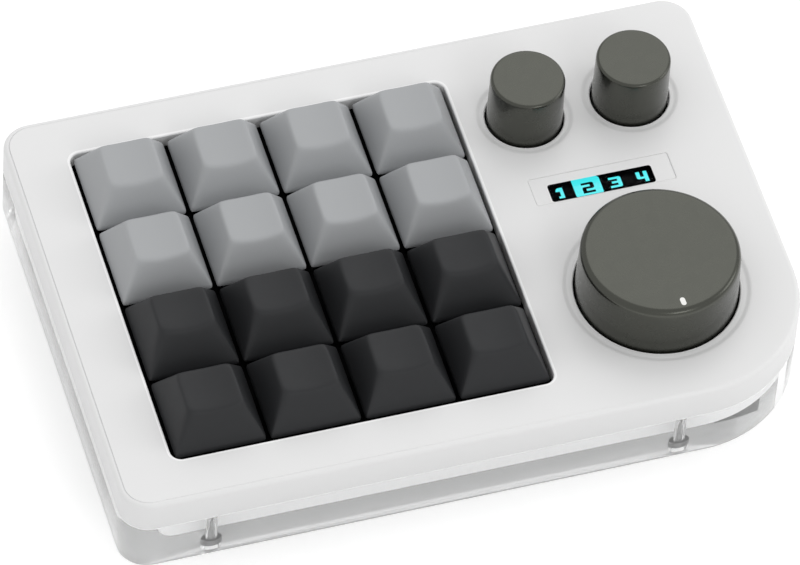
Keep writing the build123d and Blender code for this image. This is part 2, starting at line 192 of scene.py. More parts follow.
def level(height, outer, holes=()):
    """Flat face at a height between an outline and its holes, in triangles."""
    loops = [ring(outer, height), *(ring(hole, height) for hole in holes)]
    triangles = tessellate_polygon([[Vector(point) for point in loop] for loop in loops])
    return np.vstack(loops), [list(triangle) for triangle in triangles]


def join(*surfaces):
    """Several surfaces as one: points stacked, face numbers moved on by the points before them."""
    points = []
    faces = []
    offset = 0
    for surface_points, surface_faces in surfaces:
        points.append(surface_points)
        faces.extend([[index + offset for index in face] for face in surface_faces])
        offset += len(surface_points)
    return np.vstack(points), faces


def turned(centre, profile, steps=ROUND_STEPS):
    """Profile of radius and height turned about a vertical axis: x and y are radius times cosine and sine."""
    return wall([ring(circle_plan(centre, radius, steps), height) for radius, height in profile])


def quarter_round(start, end, steps=6):
    """Quarter ellipse from one point of a profile to another: it sets off upwards and ends level."""
    turn = np.linspace(0, pi / 2, steps + 1)
    rise, run = np.sin(turn), 1 - np.cos(turn)
    start, end = np.array(start), np.array(end)
    return np.column_stack([start[0] + (end[0] - start[0]) * run, start[1] + (end[1] - start[1]) * rise])


def make_piece(name, surface, finishes, body, replaced=(), finish_of=None):
    """A surface in millimetres as a piece of the keypad."""
    points, faces = surface
    mesh = bpy.data.meshes.new(name)
    mesh.from_pydata((points * MM).tolist(), [], faces)
    return finish_piece(name, mesh, finishes, body, replaced, finish_of)


def finish_piece(name, mesh, finishes, body, replaced=(), finish_of=None):
    """Welds a mesh, turns its faces outwards, shades it and gives it its finish, body and slot.

    Finish_of gives each face its place in the list of finishes, from the middles of all faces.
    """
    shell = bmesh.new()
    shell.from_mesh(mesh)
    bmesh.ops.remove_doubles(shell, verts=shell.verts, dist=WELD)
    bmesh.ops.dissolve_degenerate(shell, edges=shell.edges, dist=WELD)
    bmesh.ops.recalc_face_normals(shell, faces=shell.faces)
    shell.to_mesh(mesh)
    shell.free()
    mesh.shade_smooth()
    mesh.set_sharp_from_angle(angle=SHARP)
    mesh.materials.clear()
    for finish in finishes:
        mesh.materials.append(finish)
    if finish_of is not None:
        centres = np.array([polygon.center for polygon in mesh.polygons]) / MM
        mesh.polygons.foreach_set("material_index", finish_of(centres).astype(np.int32))
    piece = bpy.data.objects.new(name, mesh)
    bpy.context.scene.collection.objects.link(piece)
    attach(piece, body)
    if replaced:
        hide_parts(*replaced)
    return piece


def softened(name, node, width, finishes, body, finish_of=None):
    """A copy of a CAD node with every sharp edge rounded by width."""
    mesh = nodes[node].data.copy()
    shell = bmesh.new()
    shell.from_mesh(mesh)
    bmesh.ops.remove_doubles(shell, verts=shell.verts, dist=WELD * 10)
    bmesh.ops.dissolve_limit(
        shell,
        angle_limit=FLAT_WITHIN,
        use_dissolve_boundaries=False,
        verts=shell.verts,
        edges=shell.edges,
        delimit=set(),
    )
    inner = [edge for edge in shell.edges if len(edge.link_faces) == 2]
    sharp = [edge for edge in inner if edge.calc_face_angle(0) > BEVEL_FROM]
    bmesh.ops.bevel(
        shell,
        geom=sharp,
        offset=width * MM,
        offset_type="OFFSET",
        segments=2,
        profile=0.5,
        affect="EDGES",
        clamp_overlap=True,
    )
    shell.to_mesh(mesh)
    shell.free()
    return finish_piece(name, mesh, finishes, body, [node], finish_of)


def place_node(tree, kind, inputs=None, **settings):
    """A shader node with its settings, and each input set to a value or fed by another node's socket."""
    node = tree.nodes.new(kind)
    for name, value in settings.items():
        setattr(node, name, value)
    for name, value in (inputs or {}).items():
        if isinstance(value, bpy.types.NodeSocket):
            tree.links.new(value, node.inputs[name])
        else:
            node.inputs[name].default_value = value
    return node


def larger(tree, first, second):
    """The larger of two values."""
    node = place_node(tree, "ShaderNodeMath", {0: first, 1: second}, operation="MAXIMUM")
    return node.outputs["Value"]


def open_group(name, inputs, outputs):
    """An empty node group with float or vector sockets, and its two end nodes."""
    group = bpy.data.node_groups.new(name, "ShaderNodeTree")
    for label, kind, value in inputs:
        socket = group.interface.new_socket(name=label, in_out="INPUT", socket_type=kind)
        if value is not None:
            socket.default_value = value
    for label in outputs:
        group.interface.new_socket(name=label, in_out="OUTPUT", socket_type="NodeSocketFloat")
    return group, group.nodes.new("NodeGroupInput"), group.nodes.new("NodeGroupOutput")


def make_moulded_skin():
    """Fine grain as a height, a slow drift of shade and a polish that varies: noises over the piece."""
    group, given, result = open_group(
        "moulded_skin",
        [
            ("Vector", "NodeSocketVector", None),
            ("Grain", "NodeSocketFloat", 5000.0),
            ("Drift", "NodeSocketFloat", 60.0),
        ],
        ["Height", "Shade", "Polish"],
    )
    place = given.outputs["Vector"]
    grain = place_node(
        group,
        "ShaderNodeTexNoise",
        {"Vector": place, "Scale": given.outputs["Grain"], "Detail": 2.0, "Roughness": 0.55},
    )
    drift = place_node(
        group,
        "ShaderNodeTexNoise",
        {"Vector": place, "Scale": given.outputs["Drift"], "Detail": 3.0, "Roughness": 0.6},
    )
    smear = place_node(
        group,
        "ShaderNodeTexNoise",
        {"Vector": place, "Scale": 350.0, "Detail": 4.0, "Roughness": 0.65, "Distortion": 0.4},
    )
    group.links.new(grain.outputs["Fac"], result.inputs["Height"])
    group.links.new(drift.outputs["Fac"], result.inputs["Shade"])
    group.links.new(smear.outputs["Fac"], result.inputs["Polish"])
    return group


def make_wear_and_edge_highlight():
    """Mask of edges: one where the normal rounded over a radius leaves the true normal, broken by noise. It
    lightens edges as wear and as a painted highlight.
    """
    group, given, result = open_group(
        "wear_and_edge_highlight",
        [("Vector", "NodeSocketVector", None), ("Radius", "NodeSocketFloat", 0.0004)],
        ["Mask"],
    )
    rounded = place_node(group, "ShaderNodeBevel", {"Radius": given.outputs["Radius"]}, samples=4)
    geometry = place_node(group, "ShaderNodeNewGeometry")
    agree = place_node(
        group,
        "ShaderNodeVectorMath",
        {0: rounded.outputs["Normal"], 1: geometry.outputs["Normal"]},
        operation="DOT_PRODUCT",
    )
    edge = place_node(
        group,
        "ShaderNodeMapRange",
        {"Value": agree.outputs["Value"], "From Min": 0.995, "From Max": 0.86},
    )
    broken = place_node(
        group,
        "ShaderNodeTexNoise",
        {"Vector": given.outputs["Vector"], "Scale": 500.0, "Detail": 3.0, "Roughness": 0.6},
    )
    mask = place_node(
        group, "ShaderNodeMath", {0: edge.outputs["Result"], 1: broken.outputs["Fac"]}, operation="MULTIPLY"
    )
    group.links.new(mask.outputs["Value"], result.inputs["Mask"])
    return group


def make_turning_marks():
    """Height of fine circles round an axis: a sine of the distance from it, its strength varied by noise."""
    group, given, result = open_group(
        "turning_marks",
        [("Vector", "NodeSocketVector", None), ("Pitch", "NodeSocketFloat", 0.00012)],
        ["Height"],
    )
    place = given.outputs["Vector"]
    flat = place_node(group, "ShaderNodeVectorMath", {0: place, 1: (1.0, 1.0, 0.0)}, operation="MULTIPLY")
    radius = place_node(group, "ShaderNodeVectorMath", {0: flat.outputs["Vector"]}, operation="LENGTH")
    turns = place_node(
        group, "ShaderNodeMath", {0: radius.outputs["Value"], 1: given.outputs["Pitch"]}, operation="DIVIDE"
    )
    wave = place_node(group, "ShaderNodeMath", {0: turns.outputs["Value"]}, operation="SINE")
    uneven = place_node(group, "ShaderNodeTexNoise", {"Vector": place, "Scale": 220.0, "Detail": 2.0})
    height = place_node(
        group, "ShaderNodeMath", {0: wave.outputs["Value"], 1: uneven.outputs["Fac"]}, operation="MULTIPLY"
    )
    group.links.new(height.outputs["Value"], result.inputs["Height"])
    return group


def make_board_pattern():
    """Masks for a circuit board: traces along the crests of a bent wave, pads near the middles of cells."""
    group, given, result = open_group(
        "board_pattern", [("Vector", "NodeSocketVector", None)], ["Trace", "Pad"]
    )
    place = given.outputs["Vector"]
    wave = place_node(
        group,
        "ShaderNodeTexWave",
        {"Vector": place, "Scale": 160.0, "Distortion": 6.0, "Detail": 0.0, "Detail Scale": 0.6},
        wave_type="BANDS",
        bands_direction="DIAGONAL",
    )
    trace = place_node(
        group,
        "ShaderNodeMapRange",
        {"Value": wave.outputs["Fac"], "From Min": 0.86, "From Max": 0.92},
    )
    cells = place_node(group, "ShaderNodeTexVoronoi", {"Vector": place, "Scale": 210.0, "Randomness": 0.55})
    pad = place_node(
        group,
        "ShaderNodeMapRange",
        {"Value": cells.outputs["Distance"], "From Min": 0.16, "From Max": 0.13},
    )
    group.links.new(trace.outputs["Result"], result.inputs["Trace"])
    group.links.new(pad.outputs["Result"], result.inputs["Pad"])
    return group


moulded_skin = make_moulded_skin()
wear_and_edge_highlight = make_wear_and_edge_highlight()
turning_marks = make_turning_marks()
board_pattern = make_board_pattern()


def open_finish(name):
    """An empty material with its shader, and the object coordinates that its patterns read."""
    finish = bpy.data.materials.new(name)
    finish.use_nodes = True
    tree = finish.node_tree
    tree.nodes.clear()
    output = tree.nodes.new("ShaderNodeOutputMaterial")
    shader = tree.nodes.new("ShaderNodeBsdfPrincipled")
    tree.links.new(shader.outputs["BSDF"], output.inputs["Surface"])
    place = tree.nodes.new("ShaderNodeTexCoord").outputs["Object"]
    return finish, tree, shader, place


def placed_group(tree, group, inputs):
    """A node group placed in a material with its own values."""
    return place_node(tree, "ShaderNodeGroup", inputs, node_tree=group)


def mixed(tree, factor, first, second):
    """Colour between two colours, which are the mix node's inputs 6 and 7."""
    inputs = {0: factor, 6: first, 7: second}
    return place_node(tree, "ShaderNodeMix", inputs, data_type="RGBA", clamp_factor=True).outputs[2]


def scaled(tree, value, low, high):
    """A zero to one value spread between two others."""
    node = place_node(tree, "ShaderNodeMapRange", {"Value": value, "To Min": low, "To Max": high})
    return node.outputs["Result"]


def linked_bump(tree, shader, height, strength):
    """Bump of a tenth of a millimetre from a height, fed to the shader's normal."""
    bump = place_node(tree, "ShaderNodeBump", {"Height": height, "Strength": strength, "Distance": 0.0001})
    tree.links.new(bump.outputs["Normal"], shader.inputs["Normal"])


def solid_finish(
    name, colour, roughness, grain=5000.0, relief=0.05, drift=0.05, edge=0.25, settings=None, marks=None
):
    """Opaque finish: grain in its bump, shade and polish that drift, and edges lighter, as wear and as
    painted highlight.

    Marks is the place in plan of the axis that turning marks run round.
    """
    finish, tree, shader, place = open_finish(name)
    skin = placed_group(tree, moulded_skin, {"Vector": place, "Grain": grain})
    wear_and_highlight = placed_group(tree, wear_and_edge_highlight, {"Vector": place})
    lifted = np.array(colour[:3])
    lifted += (1 - lifted) * EDGE_WEAR_AND_HIGHLIGHT * edge
    body_colour = mixed(tree, skin.outputs["Shade"], colour, shaded(colour, 1 - drift))
    rubbed_and_highlit = mixed(tree, wear_and_highlight.outputs["Mask"], body_colour, (*lifted.tolist(), 1.0))
    tree.links.new(rubbed_and_highlit, shader.inputs["Base Color"])
    polish = scaled(tree, skin.outputs["Polish"], roughness - POLISH_SPREAD, roughness + POLISH_SPREAD)
    tree.links.new(polish, shader.inputs["Roughness"])
    height = skin.outputs["Height"]
    if marks is not None:
        shifted = place_node(
            tree, "ShaderNodeMapping", {"Vector": place, "Location": (-marks[0] * MM, -marks[1] * MM, 0.0)}
        )
        turning = placed_group(tree, turning_marks, {"Vector": shifted.outputs["Vector"]})
        height = place_node(
            tree, "ShaderNodeMath", {0: height, 1: turning.outputs["Height"]}, operation="ADD"
        ).outputs["Value"]
    linked_bump(tree, shader, height, relief)
    for socket, value in (settings or {}).items():
        shader.inputs[socket].default_value = value
    return finish


def clear_finish(name, roughness, tint, shade_through, relief=0.02, ior=1.49, clearness=1.0, glow=0.0):
    """Clear acrylic whose polish and skin vary a little. Light for soft surfaces goes through it.

    Shade_through is how much of that light it stops, clearness how much it lets through to the eye. Glow is
    painted light: an even white glow of its own that brightens it.
    """
    finish, tree, shader, place = open_finish(name)
    skin = placed_group(tree, moulded_skin, {"Vector": place, "Grain": 900.0})
    shader.inputs["Transmission Weight"].default_value = clearness
    shader.inputs["IOR"].default_value = ior
    shader.inputs["Emission Color"].default_value = (1, 1, 1, 1)
    shader.inputs["Emission Strength"].default_value = glow
    tree.links.new(mixed(tree, skin.outputs["Shade"], tint, shaded(tint, 0.985)), shader.inputs["Base Color"])
    polish = scaled(tree, skin.outputs["Polish"], roughness * 0.7, roughness * 1.3)
    tree.links.new(polish, shader.inputs["Roughness"])
    light = place_node(tree, "ShaderNodeLightPath")
    soft_light = larger(tree, light.outputs["Is Shadow Ray"], light.outputs["Is Diffuse Ray"])
    tree.links.new(scaled(tree, soft_light, 1.0, shade_through), shader.inputs["Alpha"])
    linked_bump(tree, shader, skin.outputs["Height"], relief)
    return finish


def board_finish(name, mask_colour, trace_colour, pad_colour):
    """Lacquered circuit board with traces under the lacquer and bare pads."""
    finish, tree, shader, place = open_finish(name)
    pattern = placed_group(tree, board_pattern, {"Vector": place})
    skin = placed_group(tree, moulded_skin, {"Vector": place, "Grain": 3000.0})
    with_traces = mixed(tree, pattern.outputs["Trace"], mask_colour, trace_colour)
    tree.links.new(mixed(tree, pattern.outputs["Pad"], with_traces, pad_colour), shader.inputs["Base Color"])
    tree.links.new(scaled(tree, pattern.outputs["Pad"], 0.0, 0.9), shader.inputs["Metallic"])
    tree.links.new(scaled(tree, skin.outputs["Polish"], 0.22, 0.38), shader.inputs["Roughness"])
    linked_bump(tree, shader, larger(tree, pattern.outputs["Trace"], pattern.outputs["Pad"]), 0.4)
    return finish


def lit_finish(name, colour, strength):
    """Lit part of the display: its own light, broken up by the fine rows of the screen."""
    finish, tree, shader, place = open_finish(name)
    rows = place_node(
        tree,
        "ShaderNodeTexWave",
        {"Vector": place, "Scale": 1600.0},
        wave_type="BANDS",
        bands_direction="Y",
    )
    shader.inputs["Base Color"].default_value = (0.01, 0.03, 0.035, 1.0)
    shader.inputs["Roughness"].default_value = 0.3
    shader.inputs["Emission Strength"].default_value = strength
    glow = mixed(tree, rows.outputs["Fac"], colour, shaded(colour, 0.82))
    tree.links.new(glow, shader.inputs["Emission Color"])
    return finish


# Finishes: colour, roughness, scale of the grain, its relief, drift of the shade and lightening of the edges,
# as wear and as painted highlight
cover_white = solid_finish("cover_white", srgb(236, 236, 236), 0.42, 4200.0, 0.04, 0.015, 0.3)
# Painted highlight: a brighter white for the rounded lips of the opening and the knob holes
painted_highlight_white = solid_finish("painted_highlight_white", srgb(254, 254, 254), 0.35, 4200.0, 0.02, 0.01, 0.1)
dull = {"Specular IOR Level": 0.1}
# Black under the window, and painted shade: black deep inside the cover where only shade falls
black_and_painted_shade = solid_finish("black_and_painted_shade", srgb(10, 10, 11), 0.7, 2500.0, 0.06, 0.05, 0.1, dull)
# The light caps' strong edge lightening is painted highlight along their creases, beside wear
cap_light = solid_finish("cap_light", srgb(168, 170, 172), 0.55, 3600.0, 0.12, 0.03, 1.6)
satin = {"Specular IOR Level": 0.35}
cap_dark = solid_finish("cap_dark", srgb(38, 39, 41), 0.55, 3600.0, 0.12, 0.05, 0.35, satin)
anodised = {"Metallic": 0.9, "Coat Weight": 0.25}
knob_metals = {
    side: solid_finish(f"knob_metal_{side}", srgb(76, 77, 71), 0.28, 5200.0, 0.03, 0.04, 0.5, anodised, place)
    for side, place in knob_places.items()
}
pointer_white = solid_finish("pointer_white", srgb(245, 245, 242), 0.4, 6000.0, 0.03, 0.02, 0.2)
bare_metal = {"Metallic": 1.0}
steel = solid_finish("steel", srgb(120, 120, 120), 0.45, 4000.0, 0.05, 0.06, 0.6, bare_metal)
shaft_metal = solid_finish("shaft_metal", srgb(170, 168, 160), 0.3, 4000.0, 0.05, 0.06, 0.6, bare_metal)
plate_dark = solid_finish("plate_dark", srgb(14, 14, 15), 0.6, 2500.0, 0.06, 0.05, 0.4, dull)
switch_plastic = solid_finish("switch_plastic", srgb(14, 14, 15), 0.5, 3000.0, 0.05, 0.05, 0.3, dull)
stem_plastic = solid_finish("stem_plastic", srgb(120, 66, 44), 0.4, 3000.0, 0.05, 0.05, 0.3)
encoder_plastic = solid_finish("encoder_plastic", srgb(36, 58, 70), 0.45, 3000.0, 0.05, 0.05, 0.3)
header_plastic = solid_finish("header_plastic", srgb(28, 28, 28), 0.4, 3000.0, 0.05, 0.05, 0.3)
chip_black = solid_finish("chip_black", srgb(30, 31, 33), 0.55, 2600.0, 0.1, 0.05, 0.3)
foot_rubber = solid_finish("foot_rubber", srgb(196, 198, 198), 0.75, 1800.0, 0.25, 0.06, 0.2)
unlit = {"Specular IOR Level": 0.02}
display_black = solid_finish("display_black", srgb(5, 5, 6), 0.3, 5000.0, 0.01, 0.2, 0.1, unlit)
circuit_board = board_finish("circuit_board", srgb(228, 230, 228), srgb(206, 210, 206), srgb(214, 190, 120))
clear_acrylic = clear_finish("clear_acrylic", 0.06, (0.985, 0.988, 0.99, 1.0), 0.05, clearness=0.88)
# The frosted acrylic's glow is painted light: it brightens the tray's pocket walls as light scattered inside
# would
frosted_acrylic = clear_finish(
    "frosted_acrylic", 0.5, (0.97, 0.972, 0.975, 1.0), 0.1, 0.1, clearness=0.15, glow=0.15
)
window_clear = clear_finish("window_clear", 0.02, (0.99, 0.992, 0.995, 1.0), 0.05, ior=1.05)
display_cyan = lit_finish("display_cyan", srgb(70, 240, 245), 1.0)


def opening_plan(grow):
    """Outline of the key opening, grown outwards."""
    return rounded_plan(opening_low - grow, opening_high + grow, [opening_corner + grow] * 4)


def window_plan(grow):
    """Outline of the window's recess, grown outwards from the window's own edge."""
    return rounded_plan(window_low[:2] - grow, window_high[:2] + grow, [window_corner + grow] * 4)


def hole_plan(side):
    """Outline of a knob's hole in the cover."""
    return circle_plan(knob_places[side], hole_radii[side])


def well_profile(hole_radius, width):
    """Radius and height down from the flat cover: a soft slope, the well's floor, its lip and the hole."""
    slope = np.linspace(0, 1, 9)
    outer = hole_radius + width
    inner = outer - well_slope
    slope_radius = outer + (inner - outer) * slope
    slope_height = cover_top - well_depth * (1 - np.cos(pi * slope)) / 2
    floor = cover_top - well_depth
    lip = quarter_round((hole_radius, floor - well_lip), (hole_radius + well_lip, floor))
    return [
        (outer + flat_margin, cover_top),
        *zip(slope_radius, slope_height),
        *lip[::-1],
        (hole_radius, cover_underside),
    ]


def cover_surface():
    """Rounded skirt, flat top with its openings, wells round the knobs, window recess and hollow underside.

    The groove inside the rounded edge is deepest at the left and fades along the first part of the cover.
    """
    split = cover_low[2]
    skirt = [
        (flat_margin + skirt_round, split),
        (skirt_round, split),
        (skirt_chamfer, split + skirt_chamfer),
        (0, split + skirt_round),
        *quarter_round((0, cover_top - cover_round), (cover_round, cover_top), 8),
        (cover_round + groove_width / 2, cover_top),
        (groove_outer, cover_top),
    ]
    rings = [ring(case_plan(inset), height) for inset, height in skirt]
    groove = rings[-2]
    groove[:, 2] -= groove_depth * np.clip(1 - (groove[:, 0] - cover_low[0]) / groove_length, 0, 1)
    outside = wall(rings)
    wells = {side: well_profile(hole_radii[side], well_widths[side]) for side in knob_places}
    well_walls = [turned(knob_places[side], wells[side]) for side in knob_places]
    lip = quarter_round((0, cover_top - opening_round), (opening_round, cover_top), 7)[::-1]
    opening_rings = [
        (opening_round + flat_margin, cover_top),
        *lip,
        (0, cover_top - opening_skin),
        (0, plate_top),
    ]
    opening_wall = wall([ring(opening_plan(grow), height) for grow, height in opening_rings])
    recess_floor = cover_top - window_depth
    recess_edge = [
        (window_gap + window_edge + flat_margin, cover_top),
        (window_gap + window_edge, cover_top),
        (window_gap + window_bevel[0], cover_top - window_bevel[1]),
        (window_gap, cover_top - window_edge),
        (window_gap, recess_floor),
    ]
    recess_wall = wall([ring(window_plan(grow), height) for grow, height in recess_edge])
    screen = rounded_plan(screen_middle - screen_half, screen_middle + screen_half, [screen_corner] * 4)
    recess = level(recess_floor, window_plan(window_gap), [screen])
    screen_wall = wall([ring(screen, recess_floor), ring(screen, cover_underside)])
    wells_outside = [circle_plan(knob_places[side], wells[side][0][0]) for side in knob_places]
    openings = [opening_plan(opening_rings[0][0]), window_plan(recess_edge[0][0]), *wells_outside]
    top = level(cover_top, case_plan(groove_outer), openings)
    works = rounded_plan(works_low, works_high, works_corners)
    pocket = case_plan(pocket_inset, pocket_corner)
    screw_holes = [circle_plan(place, screw_hole_radius, screw_hole_steps) for place in screw_places]
    screw_top = split + screw_hole_depth
    underside = level(split, case_plan(skirt[0][0]), [pocket, *screw_holes])
    screw_walls = [wall([ring(hole, split), ring(hole, screw_top)]) for hole in screw_holes]
    screw_ends = [level(screw_top, hole) for hole in screw_holes]
    pocket_wall = wall([ring(pocket, split), ring(pocket, plate_top)])
    pocket_roof = level(plate_top, pocket, [opening_plan(0), works])
    works_wall = wall([ring(works, plate_top), ring(works, cover_underside)])
    works_roof = level(cover_underside, works, [screen, *(hole_plan(side) for side in knob_places)])
    return join(
        outside,
        top,
        opening_wall,
        *well_walls,
        recess_wall,
        recess,
        screen_wall,
        underside,
        *screw_walls,
        *screw_ends,
        pocket_wall,
        pocket_roof,
        works_wall,
        works_roof,
    )


def within(centres, low, high, margin=0.0):
    """Which face centres lie in plan between two corners, grown by a margin."""
    plan = centres[:, :2]
    return np.all((plan > low[:2] - margin) & (plan < high[:2] + margin), axis=1)


def cover_finish_of(centres):
    """White shell with a painted highlight on its lips, black under the window, and painted shade in black
    deep inside the opening and the pockets.
    """
    slack = 0.05
    height = centres[:, 2]
    inside = within(centres, cover_low + pocket_inset, cover_high - pocket_inset, slack)
    # Painted shade: faces deeper than the lit top of the opening's wall turn black
    deep_painted_shade = (height < cover_top - opening_skin) & (height > cover_low[2] + slack)
    recess = (height < cover_top - window_depth + slack) & (height > cover_underside + slack)
    recess &= within(centres, window_low, window_high, slack)
    # Painted highlight on the lips of the opening and of the knob holes
    lip_highlight = within(centres, opening_low, opening_high, opening_round + flat_margin)
    lip_highlight &= height > cover_top - opening_round
    for side, place in knob_places.items():
        distance = np.hypot(centres[:, 0] - place[0], centres[:, 1] - place[1])
        lip_highlight |= (distance < hole_radii[side] + well_lip) & (height > cover_top - well_depth - well_lip)
    return np.select([inside & deep_painted_shade, recess, lip_highlight], [1, 1, 2], 0)


make_piece(
    "cover_shell",
    cover_surface(),
    [cover_white, black_and_painted_shade, painted_highlight_white],
    "case",
    ["top_cover"],
    cover_finish_of,
)


def tray_finish_of(centres):
    """Polished outside, frosted inside the tray's pocket."""
    inside = within(centres, cover_low + frost_inset, cover_high - frost_inset)
    return (inside & (centres[:, 2] > tray_bottom + polished_foot)).astype(int)


acrylics = [clear_acrylic, frosted_acrylic]
softened("clear_base", "base_tray", 0.3, acrylics, "case", tray_finish_of)


def window_surface():
    """Plate with a softened rim, both its faces cut along the outline of the clear patch over the screen."""
    low, high = window_low[2], window_high[2]
    rim = window_rim
    profile = [(-rim, low), (0, low + rim), (0, high - rim), (-rim, high)]
    sides = wall([ring(window_plan(grow), height) for grow, height in profile])
    patch = rounded_plan(patch_low, patch_high, [screen_corner] * 4)
    frames = [level(height, window_plan(-rim), [patch]) for height in (low, high)]
    patches = [level(height, patch) for height in (low, high)]
    return join(sides, *frames, *patches)


def window_finish_of(centres):
    """Clear over the screen and underneath, white like the cover on its face and sides."""
    clear = within(centres, patch_low, patch_high) | (centres[:, 2] < window_low[2] + window_rim)
    return np.where(clear, 0, 1)


make_piece(
    "window_plate",
    window_surface(),
    [window_clear, cover_white],
    "case",
    ["display_window"],
    window_finish_of,
)


# Keycaps: sizes of all rows, the blends of their creases, then what differs from row to row
cap_base = 18.3
cap_wall = 1.2
cap_skin = 1.3
cap_dish = 0.65
cap_lip = 0.15
cap_skirt = 0.5
hub_half = 2.7
socket_size, socket_bar, socket_depth = 4.16, 1.31, 3.63
rim_blend = 0.25
top_blend = 0.26
corner_blend = 0.6
rim_height = node_box("keycap_r1c1")[0][2]
# The cap's hub sits on the switch's slider
slider_top = 20.87
cap_rows = [
    {"height": 8.05, "shift": 0.12, "length": 9.84, "half_width": 5.4, "lean": 2.0},
    {"height": 8.15, "shift": 0.01, "length": 10.02, "half_width": 5.4, "lean": 2.2},
    {"height": 7.85, "shift": 0.785, "length": 8.67, "half_width": 5.5, "lean": 0.7},
    {"height": 7.75, "shift": 0.2, "length": 9.5, "half_width": 5.5, "lean": 1.5},
]


def square_outline():
    """Points of a square from minus one to one, anticlockwise, closest together at its corners."""
    along = np.sin((np.arange(SIDE_STEPS) / SIDE_STEPS * 2 - 1) * pi / 2)
    ones = np.ones(SIDE_STEPS)
    sides = [(along, -ones), (ones, along), (-along, ones), (-ones, -along)]
    return np.vstack([np.column_stack(side) for side in sides])


def smooth_maximum(distances, blend):
    """Largest of several distances, eased where two are alike: the logarithm of summed exponentials."""
    parts = np.stack(distances) / blend
    peak = parts.max(axis=0)
    return blend * (peak + np.log(np.exp(parts - peak).sum(axis=0)))


def cap_distance(point, row):
    """Smooth maximum of the distances to four flanks, then of that and the dish.

    The blend between the flanks is narrow at the rim and widens towards the top.
    """
    x, y, z = point[..., 0], point[..., 1], point[..., 2]
    half = cap_base / 2
    lean = radians(row["lean"])
    height, shift = row["height"], row["shift"]
    reach, rise = row["length"] / 2 * cos(lean), row["length"] / 2 * sin(lean)
    side_run = half - row["half_width"]
    side_slope = sqrt(height**2 + side_run**2)
    right = (height * (x - half) + side_run * z) / side_slope
    left = (height * (-x - half) + side_run * z) / side_slope
    front_run, front_height = shift - reach + half, height - rise
    front = (front_height * (-y - half) + front_run * z) / sqrt(front_run**2 + front_height**2)
    back_run, back_height = half - shift - reach, height + rise
    back = (back_height * (y - half) + back_run * z) / sqrt(back_run**2 + back_height**2)
    dish_radius = (row["half_width"] ** 2 + cap_dish**2) / (2 * cap_dish)
    over = (z - height) * cos(lean) - (y - shift) * sin(lean)
    dish = dish_radius - np.sqrt(x**2 + (over - dish_radius + cap_dish) ** 2)
    climbed = np.clip(z / height, 0, 1)
    flank_blend = rim_blend + (corner_blend - rim_blend) * climbed**2 * (3 - 2 * climbed)
    flanks = smooth_maximum([right, left, front, back], flank_blend)
    return smooth_maximum([flanks, dish], top_blend)


def cap_surface(row, centre):
    """Grid lines run up the flanks and over the dish: a point is where its ray from the rim's middle ends.

    The stretch of a ray in which it leaves the cap is halved again and again.
    """
    square = square_outline()
    lean = radians(row["lean"])
    top_plan = square * [row["half_width"], row["length"] / 2] + [0, row["shift"]]
    top = np.column_stack([top_plan, row["height"] + (top_plan[:, 1] - row["shift"]) * sin(lean)])
    middle = np.array([0, row["shift"], row["height"] - cap_dish])
    rim = np.column_stack([square * cap_base / 2, np.full(len(square), cap_lip)])
    climb = np.sin(np.linspace(0, 1, FLANK_STEPS) * pi / 2)
    inward = 1 - np.cos(np.linspace(0, 1, TOP_STEPS + 1)[1:] * pi / 2)
    flank = rim + (top - rim) * climb[:, None, None]
    dish = top + (middle - top) * inward[:, None, None]
    target = np.concatenate([flank, dish])
    low = np.full(target.shape[:2], SHORTEST_RAY)
    high = np.full(target.shape[:2], LONGEST_RAY)
    for _ in range(SOLVER_STEPS):
        half_way = (low + high) / 2
        outside = cap_distance(target * half_way[..., None], row) > 0
        high = np.where(outside, half_way, high)
        low = np.where(outside, low, half_way)
    shell = target * ((low + high) / 2)[..., None]
    outline = shell[0, :, :2] / (cap_base / 2)
    ceiling = row["height"] - cap_dish - cap_skin
    hem = ring(outline * cap_base / 2, cap_lip - cap_skirt)
    lip = ring(outline * (cap_base / 2 - cap_lip), -cap_skirt)
    mouth = ring(outline * (cap_base / 2 - cap_wall), -cap_skirt)
    inner_half = np.array([row["half_width"] - cap_wall / 2, row["length"] / 2 - cap_wall / 2])
    roof = ring(outline * inner_half + [0, row["shift"]], ceiling)
    hub_plan = outline * hub_half
    hub_bottom = slider_top - rim_height
    socket_top = hub_bottom + socket_depth
    cross = cross_plan(socket_size, socket_bar)
    outside = wall([mouth, lip, hem, *shell])
    inside = wall([mouth, roof, ring(hub_plan, ceiling), ring(hub_plan, hub_bottom)])
    hub_end = level(hub_bottom, hub_plan, [cross])
    socket = wall([ring(cross, hub_bottom), ring(cross, socket_top)])
    socket_end = level(socket_top, cross)
    points, faces = join(outside, inside, hub_end, socket, socket_end)
    return points + [centre[0], centre[1], rim_height], faces


def cross_plan(size, bar):
    """Outline of a cross of two bars, anticlockwise."""
    half, arm = bar / 2, size / 2
    quarter = np.array([(arm, -half), (arm, half), (half, half)])
    turn = np.array([[0, 1], [-1, 0]])
    quarters = [quarter]
    for _ in range(3):
        quarters.append(quarters[-1] @ turn)
    return np.vstack(quarters)


for row_index, cap_row in enumerate(cap_rows):
    for column_index in range(4):
        key = f"r{row_index + 1}c{column_index + 1}"
        low, high = node_box(f"keycap_{key}")
        finish, slot = (cap_light, "cap_light") if row_index < 2 else (cap_dark, "cap_dark")
        make_piece(
            f"cap_{key}",
            cap_surface(cap_row, (low + high) / 2),
            [finish],
            f"key_{key}",
            [f"keycap_{key}"],
        )


# Knobs: what all three share
bore_radius = 3.02
knob_foot = 1.1
foot_chamfer = 0.2
face_margin = 0.3


